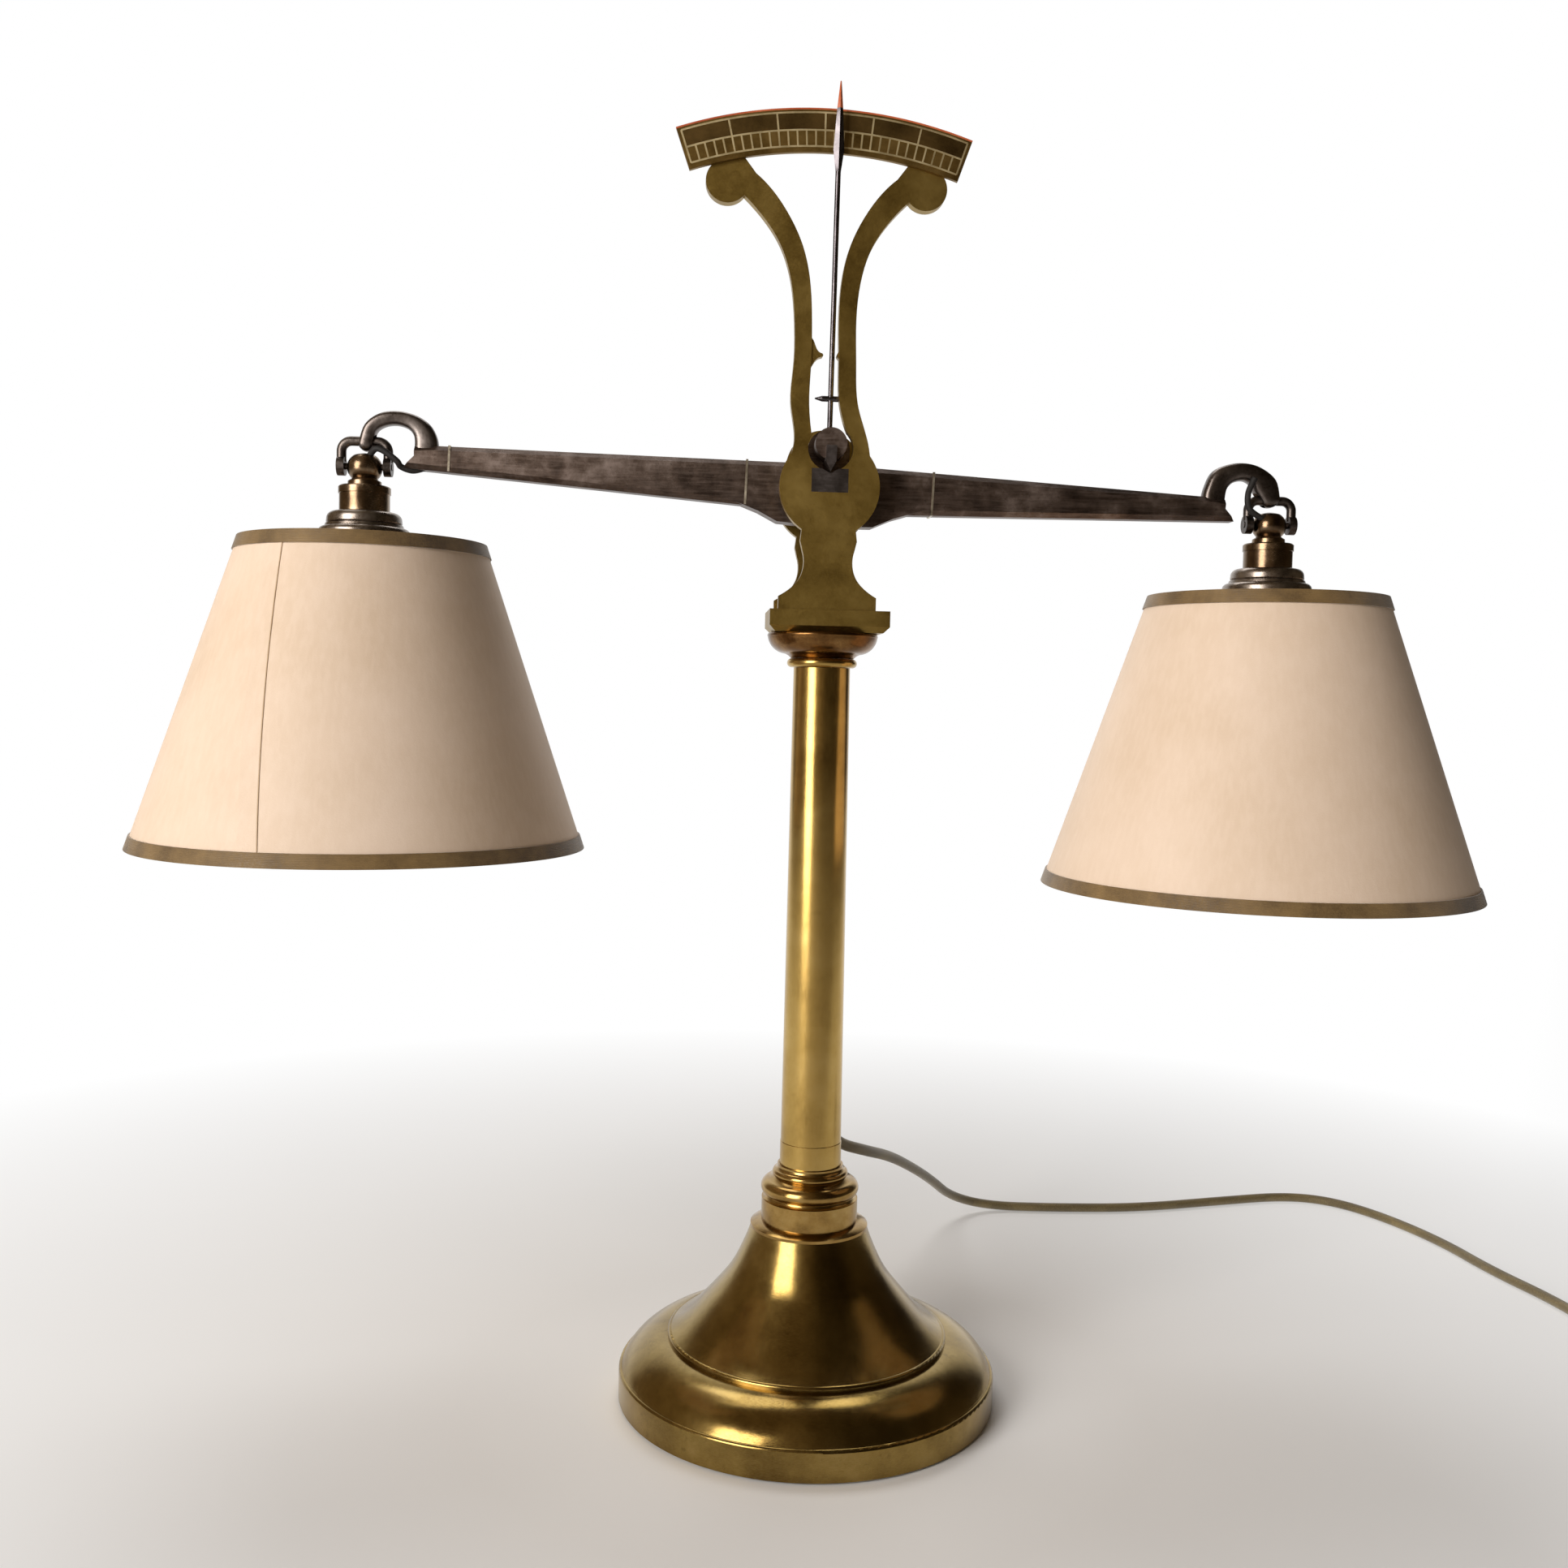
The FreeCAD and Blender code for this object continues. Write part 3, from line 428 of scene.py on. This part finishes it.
# ---------------------------------------------------------------- lead and coil
# middle of the flex, mm, from the sleeve to the coil
CORD_ROUTE = [(1.0, 19.0, 150.0), (4.0, 20.5, 130.0), (14.0, 27.0, 112.0), (32.0, 47.0, 102.0),
              (50.0, 88.0, 87.0), (70.0, 140.0, 65.0), (91.0, 196.0, 40.0), (112.0, 243.0, 14.0),
              (140.0, 258.5, 2.75), (180.0, 254.6, 2.75), (237.0, 254.2, 2.75), (295.6, 267.6, 2.75),
              (344.0, 278.0, 2.75), (373.0, 268.0, 2.75), (394.0, 237.0, 2.75), (410.0, 190.0, 2.75),
              (415.5, 144.0, 2.75), (428.0, 95.0, 3.0), (430.5, 62.0, 3.35)]
COIL_AT = (466.0, 50.0)
COIL_R = (24.5, 35.5)    # innermost and outermost turn
COIL_TURNS = 5.5
POINTS_PER_TURN = 16
COIL_CLIMB = 0.4         # share of a turn in which it climbs to the upper layer
COIL_FOOT = 0.6          # the tie passes under the coil
# from the coil to the plug
TAIL = [(501.5, 62.0, 8.6), (501.5, 84.0, 7.2), (501.5, 98.0, 7.0)]


def coil_points():
    """Inwards on the lower layer, then outwards on the upper one."""
    points = []
    total = int(COIL_TURNS * POINTS_PER_TURN)
    low, high = COIL_FOOT + CORD_R / MM, COIL_FOOT + 3 * CORD_R / MM
    for i in range(total + 1):
        share = i / total
        wound = 2 * share if share < 0.5 else 2 - 2 * share
        radius = COIL_R[1] - wound * (COIL_R[1] - COIL_R[0])
        rise = min(max((share - 0.5) * COIL_TURNS / COIL_CLIMB + 0.5, 0.0), 1.0)
        angle = math.pi + 2 * math.pi * COIL_TURNS * share
        points.append((COIL_AT[0] + radius * math.cos(angle), COIL_AT[1] + radius * math.sin(angle),
                       low + rise * (high - low)))
    return points


def make_cord():
    points = CORD_ROUTE[:-1] + coil_points() + TAIL
    lead = piece("lead", nurbs("lead", [Vector(p) * MM for p in points], CORD_R), "stand", "flex_cloth")
    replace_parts(lead, "cord_tube", "cord_coil")


make_cord()


# ---------------------------------------------------------------- softened edges
def soften(names, width, angle, segments):
    """Worn, slightly rounded edges on forged and filed pieces."""
    for name in names:
        bevel = NODES[name].modifiers.new("worn edges", "BEVEL")
        bevel.width = width
        bevel.segments = segments
        bevel.limit_method = "ANGLE"
        bevel.angle_limit = math.radians(angle)


soften(["front_cheek", "back_cheek", "plinth"], 0.0004, 50.0, 2)
soften(["beam_hub"], 0.0012, 50.0, 3)


# ---------------------------------------------------------------- forged hooks
# millimetres, on the right-hand side of the level beam
HOOK_HALF_DEPTH = 4.3
HOOK_FOOT = (187.2, 429.8)
HOOK_TIP = 3.4           # the rounded end reaches this far past the last station
HOOK_SQUARE = 0.65       # 1 is an elliptical section, towards 0 a square one
HOOK_SIDES, HOOK_PER_SPAN = 28, 5     # points round the section, and sections between stations
EYE_BORE, BORE_REACH = 3.3, 9.0       # radius and half length of the hole for the shackle
# top of the arch, how far it reaches out, edge of its opening
HOOKS = {
    "left": (447.5, 212.2, [(187.2, 434.6), (188.0, 437.6), (190.6, 440.0), (195.2, 441.2),
                            (200.4, 440.4), (204.2, 437.6), (205.0, 432.2)]),
    "right": (449.8, 213.6, [(187.4, 434.6), (188.2, 437.8), (190.8, 440.4), (195.4, 441.6),
                             (199.0, 440.2), (200.8, 437.0), (204.6, 432.2)]),
}


def bored(mesh, cutter):
    """The mesh with the cutter's shape taken out of it."""
    solid = bpy.data.objects.new("solid", mesh)
    tool = bpy.data.objects.new("tool", cutter)
    for obj in (solid, tool):
        bpy.context.scene.collection.objects.link(obj)
    cut = solid.modifiers.new("bore", "BOOLEAN")
    cut.operation = "DIFFERENCE"
    cut.object = tool
    result = bpy.data.meshes.new_from_object(solid.evaluated_get(bpy.context.evaluated_depsgraph_get()))
    for obj in (solid, tool):
        bpy.data.objects.remove(obj)
    result.set_sharp_from_angle(angle=math.radians(40.0))
    return result


def make_hook(side):
    """Forged hook of rounded section, from its foot in the beam over the arch to the bored tip."""
    crown, reach, opening = HOOKS[side]
    back = [(176.4, 430.4), (177.2, 436.4), (180.4, crown - 5.4), (186.4, crown - 1.6), (194.6, crown),
            (203.0, crown - 1.4), (reach - 2.6, crown - 6.8), (reach, crown - 15.4)]
    outer, inner = [smooth_line([Vector((x, 0.0, z)) for x, z in edge], HOOK_PER_SPAN)
                    for edge in (back, [HOOK_FOOT] + opening)]
    rings = [((a + b) / 2, (a - b) / 2, 1.0) for a, b in zip(outer, inner)]
    middle, half, _ = rings[-1]
    ahead = Vector((half.z, 0.0, -half.x)).normalized()
    for degrees in (15, 30, 45, 58, 70, 80, 87):
        turn = math.radians(degrees)
        rings.append((middle + ahead * HOOK_TIP * math.sin(turn), half * math.cos(turn),
                      math.cos(turn) ** 0.6))
    verts, faces = [], []
    for middle, half, depth in rings:
        for k in range(HOOK_SIDES):
            angle = 2 * math.pi * k / HOOK_SIDES
            across, deep = [math.copysign(abs(v) ** HOOK_SQUARE, v)
                            for v in (math.cos(angle), math.sin(angle))]
            p = middle + half * across + Vector((0.0, HOOK_HALF_DEPTH * depth * deep, 0.0))
            verts.append(tilted(Vector((SIDES[side] * p.x, p.y, p.z)) * MM))
    skin_rings(len(rings), HOOK_SIDES, faces)
    through = [tilted(Vector((SIDES[side] * (EYE[0] + past), 0.0, EYE[1])) * MM)
               for past in (-BORE_REACH, BORE_REACH)]
    name = side + "_hook"
    mesh = bored(mesh_from(name, verts, faces), tube(side + "_bore", through, EYE_BORE * MM, 32))
    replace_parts(piece(name, mesh, "beam_body", "hook_steel"), side + "_swan_neck")


for side in SIDES:
    make_hook(side)


# ---------------------------------------------------------------- dial engraving
DIAL_CENTRE = Vector((-0.0059, 0.0, 0.3888))
DIAL_FACE = -0.021       # front face of the plate
DIAL_LINE = 0.00078
DIAL_STEP = math.radians(0.8)
DIAL_SUNK = 0.0002       # every patch on the face starts this far inside the plate
LINE_PROUD, TICK_PROUD, PANEL_PROUD = 0.00012, 0.0001, 0.00005
DIAL_BORDER = math.radians(18.7)
ROW_R = (0.1836, 0.1906, 0.1982)      # bottom line, line between the rows, top line
DIAL_HALF = math.radians(19.2)
RIM_R = (0.1994, 0.20015)             # painted top edge of the plate
RIM_PROUD, RIM_DEPTH = 0.0001, 0.0019
LARGE_CELLS = 6
SMALL_PER_LARGE = 5


def dial_patch(r0, r1, a0, a1, proud, depth, verts, faces):
    """Raised patch of a flat ring standing on the dial's face, angles measured from straight up."""
    steps = max(1, int(abs(a1 - a0) / DIAL_STEP))
    first = len(verts)
    for i in range(steps + 1):
        angle = a0 + (a1 - a0) * i / steps
        for r, y in ((r0, DIAL_FACE + depth), (r0, DIAL_FACE - proud), (r1, DIAL_FACE - proud),
                     (r1, DIAL_FACE + depth)):
            verts.append(DIAL_CENTRE + Vector((r * math.sin(angle), y, r * math.cos(angle))))
    skin_rings(steps + 1, 4, faces, first)


def make_dial():
    lines, line_faces = [], []
    for r in ROW_R:
        dial_patch(r - DIAL_LINE / 2, r + DIAL_LINE / 2, -DIAL_BORDER, DIAL_BORDER, LINE_PROUD,
                   DIAL_SUNK, lines, line_faces)
    cells = LARGE_CELLS * SMALL_PER_LARGE
    for i in range(cells + 1):
        angle = -DIAL_BORDER + 2 * DIAL_BORDER * i / cells
        top = ROW_R[2] if i % SMALL_PER_LARGE == 0 else ROW_R[1]
        half = 0.5 * DIAL_LINE / ROW_R[1]
        dial_patch(ROW_R[0], top, angle - half, angle + half, TICK_PROUD, DIAL_SUNK, lines, line_faces)
    piece("dial_lines", mesh_from("dial_lines", lines, line_faces, smooth=False), "stand", "dial_brass",
          "dial_lines")

    panels, panel_faces = [], []
    for i in range(LARGE_CELLS):
        width = 2 * DIAL_BORDER / LARGE_CELLS
        left = -DIAL_BORDER + width * i
        dial_patch(ROW_R[1], ROW_R[2], left, left + width, PANEL_PROUD, DIAL_SUNK, panels, panel_faces)
    piece("dial_panels", mesh_from("dial_panels", panels, panel_faces, smooth=False), "stand",
          "dial_brass", "dial_panels")

    rim, rim_faces = [], []
    dial_patch(*RIM_R, -DIAL_HALF, DIAL_HALF, RIM_PROUD, RIM_DEPTH, rim, rim_faces)
    piece("dial_rim", mesh_from("dial_rim", rim, rim_faces, smooth=False), "stand", "pointer_red")


make_dial()


# ---------------------------------------------------------------- shade seams, with a painted shadow along each lap's edge
# middle of each shade's top, across and up; radius at the top and the bottom; height
SHADE_TOP = {"left": (-0.209289, 0.395144), "right": (0.209481, 0.381252)}
SHADE_R = (0.054, 0.100)
SHADE_H = 0.138
STRIP_ROWS = 24
STRIP_SUNK = 0.0002      # every strip starts this far inside the shade
LAP_WIDTH, LAP_PROUD = 0.0085, 0.0003
# thin darker strip along the lap's edge, painted as the shadow that edge casts: its width and how far it
# stands out
SEAM_SHADOW_WIDTH, SEAM_SHADOW_PROUD = 0.00045, 0.00033
SEAM_SHADOW_TURN = (0.35, 0.2)  # how far the painted shadow line at the lap's edge lies beside the seam, at the top and at the foot, degrees
SEAM_START, SEAM_SHARE = 0.04, 0.925  # along the slope, as shares of the shade's height
# side, and the angle of the seam at the top and at the foot of the shade, degrees
SEAMS = (("left", 244.8, 258.0), ("right", 118.0, 122.0))


def shade_strip(side, top_angle, foot_angle, width, lift, verts, faces):
    """Strip lying on the shade from under the top trim to above the bottom one."""
    x, z = SHADE_TOP[side]
    first = len(verts)
    for i in range(STRIP_ROWS + 1):
        share = SEAM_START + SEAM_SHARE * i / STRIP_ROWS
        radius = SHADE_R[0] + (SHADE_R[1] - SHADE_R[0]) * share
        middle = math.radians(top_angle + (foot_angle - top_angle) * share)
        for turn, out in ((0.0, -STRIP_SUNK), (0.0, lift), (1.0, lift), (1.0, -STRIP_SUNK)):
            angle = middle - turn * width / radius
            verts.append((x + (radius + out) * math.cos(angle), (radius + out) * math.sin(angle),
                          z - SHADE_H * share))
    skin_rings(STRIP_ROWS + 1, 4, faces, first)


for side, top_angle, foot_angle in SEAMS:
    lap, lap_faces = [], []
    shade_strip(side, top_angle, foot_angle, LAP_WIDTH, LAP_PROUD, lap, lap_faces)
    piece(side + "_shade_lap", mesh_from(side + "_shade_lap", lap, lap_faces, smooth=False),
          side + "_lamp", "shade_card")
    # thin darker strip along the lap's edge: a painted shadow of that edge on the shade
    edge, seam_shadow_faces = [], []
    shade_strip(side, top_angle + SEAM_SHADOW_TURN[0], foot_angle + SEAM_SHADOW_TURN[1], SEAM_SHADOW_WIDTH, SEAM_SHADOW_PROUD, edge,
                seam_shadow_faces)
    piece(side + "_painted_seam_shadow", mesh_from(side + "_painted_seam_shadow", edge, seam_shadow_faces, smooth=False),
          side + "_lamp", "shade_card", "painted_seam_shadow")


# ---------------------------------------------------------------- lamp wires
def ball_middle(way):
    """Middle of the lampholder's ball, on the left (-1) or the right (1)."""
    return tilted(Vector((way * EYE[0], 0.0, EYE[1])) * MM) - Vector((0.0, 0.0, BALL_DROP))


def left_lamp_wire():
    """Loop of flex from under the end of the beam to the head of the lampholder."""
    under = [(-182.0, 0.0, 423.2), (-187.5, -1.2, 421.4), (-192.5, -2.8, 422.6)]
    start = [tilted(Vector(p) * MM) for p in under]
    ball = ball_middle(-1)
    past_ball = [(15.0, -4.6, 2.4), (9.6, -5.4, 6.4), (5.6, -4.9, 7.4), (2.2, -2.2, 4.2)]
    loose = [ball + Vector(p) * MM for p in past_ball]
    wire = bpy.data.objects.new("left_lamp_wire", tube("left_lamp_wire", start + loose, WIRE_R))
    bpy.context.scene.collection.objects.link(wire)
    wire.data.materials.append(MATS["wire_black"])
    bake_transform(wire)


def right_lamp_wire():
    """Short loop of flex from beside the hook's opening down to the head of the lampholder."""
    ball = ball_middle(1)
    way = [(-9.6, -5.2, 21.0), (-12.6, -5.6, 14.0), (-12.0, -5.6, 7.0), (-6.6, -4.6, 3.2),
           (-3.0, -3.0, 2.6)]
    piece("right_lamp_wire", tube("right_lamp_wire", [ball + Vector(p) * MM for p in way], WIRE_R),
          "right_link", "wire_black")


left_lamp_wire()
right_lamp_wire()


# ---------------------------------------------------------------- stage
FLOOR_REACH = 6.0
FLOOR_DROP = 0.0003      # just under the felt
WEDGE_LEFT = 0.06        # the bright wedge's middle line lies this far left of the lamp
WEDGE_FRONT = 0.7        # its point lies this far in front of it
WEDGE_SPREAD = 0.62      # half width gained per metre
# where each brightening starts and ends: beside the wedge's edge, along Y, and out from the lamp
WEDGE_FADE, FRONT_FADE, GLOW_FADE = (1.3, -0.05), (-0.45, -0.25), (0.16, 0.8)


def make_floor():
    """A pale floor, brightest in a wide wedge behind the lamp."""
    corners = [(x * FLOOR_REACH, y * FLOOR_REACH, 0) for x, y in ((-1, -1), (1, -1), (1, 1), (-1, 1))]
    floor = bpy.data.objects.new("floor", mesh_from("floor", corners, [(0, 1, 2, 3)], smooth=False))
    bpy.context.scene.collection.objects.link(floor)
    floor.location.z = -FLOOR_DROP
    n = Nodes("floor")
    split = n.add("ShaderNodeSeparateXYZ")
    n.link(n.coord, split.inputs[0])
    x, y = split.outputs["X"], split.outputs["Y"]
    from_middle = n.math("ABSOLUTE", n.math("ADD", x, WEDGE_LEFT))
    half_width = n.math("MULTIPLY", n.math("ADD", y, WEDGE_FRONT), WEDGE_SPREAD)
    aside = n.math("SUBTRACT", from_middle, half_width)
    wedge = n.math("MULTIPLY", n.range(aside, *WEDGE_FADE), n.range(y, *FRONT_FADE))
    tone = n.ramp(n.noise(3.0, 3.0), [(0.3, (0.84, 0.84, 0.84)), (0.7, (0.87, 0.87, 0.87))])
    distance = n.add("ShaderNodeVectorMath", operation="LENGTH")
    n.link(n.coord, distance.inputs[0])
    glow = n.math("MULTIPLY", n.range(distance.outputs["Value"], *GLOW_FADE), wedge)
    pale = n.mix(wedge, (0.64, 0.635, 0.625), tone)
    n.set(Base_Color=n.mix(glow, pale, (0.0, 0.0, 0.0)), Roughness=0.7, Specular_IOR_Level=0.0,
          Emission_Color=(1.0, 1.0, 1.0), Emission_Strength=glow)
    floor.data.materials.append(n.mat)


def make_world():
    """A dim warm room with a bright wall behind the lamp, as the metal mirrors it."""
    world = bpy.data.worlds.new("studio")
    bpy.context.scene.world = world
    world.use_nodes = True
    tree = world.node_tree
    coord = tree.nodes.new("ShaderNodeTexCoord")
    split = tree.nodes.new("ShaderNodeSeparateXYZ")
    tree.links.new(coord.outputs["Generated"], split.inputs[0])

    def ramp(axis, stops, tint):
        """Colour over one axis of the direction looked in, from -1 to 1."""
        mapped = tree.nodes.new("ShaderNodeMapRange")
        mapped.inputs["From Min"].default_value = -1.0
        mapped.inputs["From Max"].default_value = 1.0
        tree.links.new(split.outputs[axis], mapped.inputs["Value"])
        node = tree.nodes.new("ShaderNodeValToRGB")
        while len(node.color_ramp.elements) < len(stops):
            node.color_ramp.elements.new(0.5)
        for element, (place, level) in zip(node.color_ramp.elements, stops):
            element.position = place
            element.color = (level, level * tint[0], level * tint[1], 1.0)
        tree.links.new(mapped.outputs["Result"], node.inputs["Fac"])
        return node.outputs["Color"]

    room = ramp("X", [(0.0, 0.24), (0.42, 0.20), (0.60, 0.055), (0.85, 0.03), (1.0, 0.07)], (0.72, 0.42))
    wall = ramp("Y", [(0.83, 0.0), (0.91, 1.0)], (1.0, 1.0))
    joined = tree.nodes.new("ShaderNodeMix")
    joined.data_type = "RGBA"
    joined.inputs[7].default_value = (1.0, 1.0, 1.0, 1.0)
    tree.links.new(wall, joined.inputs[0])
    tree.links.new(room, joined.inputs[6])
    # looked at directly, the room is a plain white wall
    seen = tree.nodes.new("ShaderNodeMix")
    seen.data_type = "RGBA"
    seen.inputs[7].default_value = (1.0, 1.0, 1.0, 1.0)
    tree.links.new(tree.nodes.new("ShaderNodeLightPath").outputs["Is Camera Ray"], seen.inputs[0])
    tree.links.new(joined.outputs[2], seen.inputs[6])
    tree.links.new(seen.outputs[2], tree.nodes["Background"].inputs["Color"])


def area(name, place, target, size, power, colour=(1, 1, 1)):
    """A soft rectangular light that faces its target."""
    data = bpy.data.lights.new(name, "AREA")
    data.shape = "RECTANGLE"
    data.size, data.size_y = size
    data.energy = power
    data.color = colour
    light = bpy.data.objects.new(name, data)
    bpy.context.scene.collection.objects.link(light)
    direction = Vector(target) - Vector(place)
    light.location = place
    light.rotation_euler = direction.to_track_quat("-Z", "Y").to_euler()


make_floor()
make_world()
area("window", (-1.6, -1.6, 0.85), (0.0, 0.0, 0.3), (1.1, 1.7), 58.0, (1.0, 0.965, 0.93))
area("top", (-0.2, 0.9, 2.0), (0.0, 0.1, 0.0), (1.6, 0.9), 14.0)
bpy.context.scene.view_settings.view_transform = "Standard"
